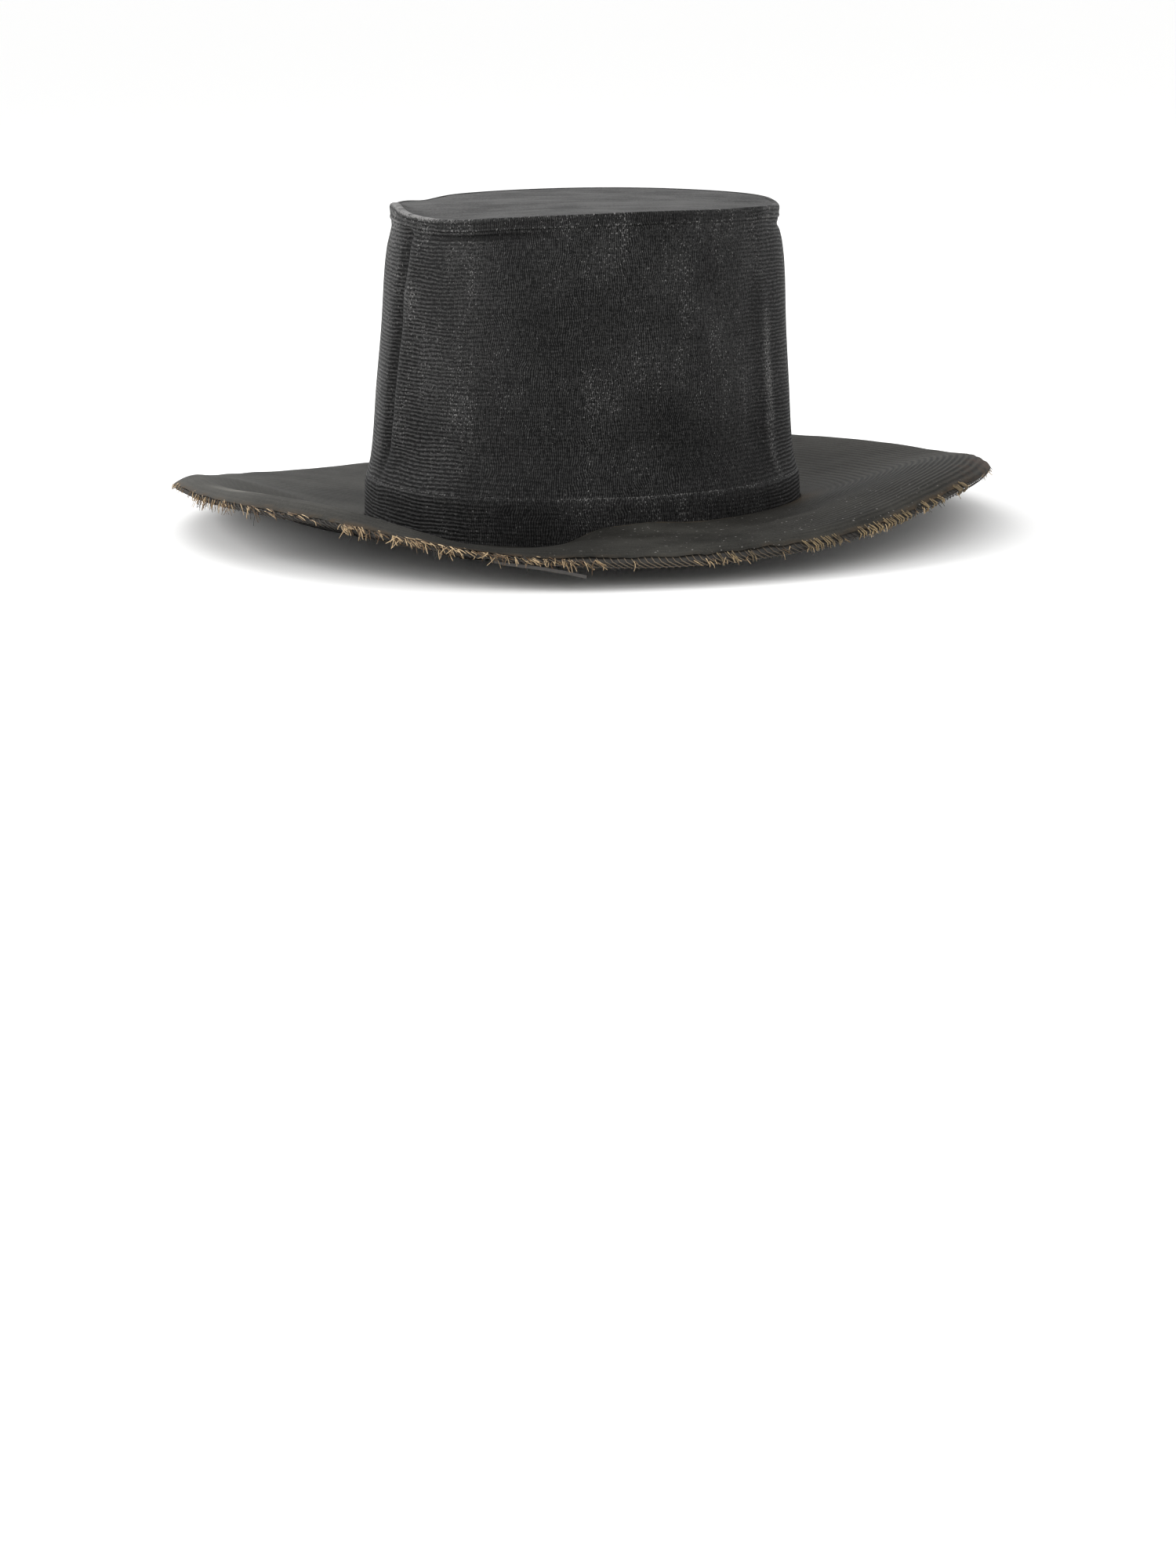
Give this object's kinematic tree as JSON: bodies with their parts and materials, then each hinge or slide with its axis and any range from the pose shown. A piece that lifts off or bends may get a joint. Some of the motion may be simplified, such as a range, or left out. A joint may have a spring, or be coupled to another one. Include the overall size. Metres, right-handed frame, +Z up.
{
  "type": "traditional hat",
  "caption": "Tall-crowned, wide-brimmed hat of black lacquered horsehair and bamboo, old and slightly warped, with a frayed rim and tie rings for a chin cord.",
  "frame": {"origin": "on the axis of the crown's foot, at the level of the surface the hat stands on", "axes": "+Z up along the crown, -Y towards the front of the hat, +X towards the right as the front is seen"},
  "size_m": [0.297, 0.2991, 0.1154],
  "materials": {
    "woven_wall": "charcoal black lacquered horsehair weave with fine weft ribs, worn to grey on the folds",
    "crown_lid": "smooth lacquered weave, dusty dark grey",
    "binding": "lacquered strip folded over the top edge",
    "foot_band": "black lacquered weave, a shade darker than the wall",
    "bamboo": "split bamboo stained with dark lacquer",
    "rim_bamboo": "thin split bamboo hoop with worn lacquer",
    "splint_web": "fine plaited bamboo splints under dark lacquer, tan where they are broken",
    "gauze": "matt dark olive grey lacquered gauze with fine concentric ridges and dust",
    "grey_splint": "weathered grey bamboo strip",
    "thread": "waxed dark thread",
    "brass": "dull tarnished brass wire"
  },
  "bodies": {
    "hat": {"crown_wall": "woven_wall", "crown_top": "crown_lid", "crown_top_hoop": "bamboo", "crown_top_binding": "binding", "crown_foot_band": "foot_band", "collar_ring": "bamboo", "collar_stitches": "thread", "brim_inner_hoop": "bamboo", "brim_web": "splint_web", "brim_cover": "gauze", "rim_hoop_upper": "bamboo", "rim_hoop_lower": "rim_bamboo", "loose_hoop_end": "grey_splint", "tie_staple_left": "brass", "tie_staple_right": "brass"},
    "left_ring": {"tie_ring_left": "brass"},
    "right_ring": {"tie_ring_right": "brass"}
  },
  "joints": [
    {"name": "left_ring_swing", "type": "hinge", "parent": "hat", "child": "left_ring", "pos_m": [-0.096, 0, 0.0036], "axis": [0, -1, 0], "range_deg": [-36, 139]},
    {"name": "right_ring_swing", "type": "hinge", "parent": "hat", "child": "right_ring", "pos_m": [0.096, 0, 0.0086], "axis": [0, 1, 0], "range_deg": [-90, 85]}
  ]
}
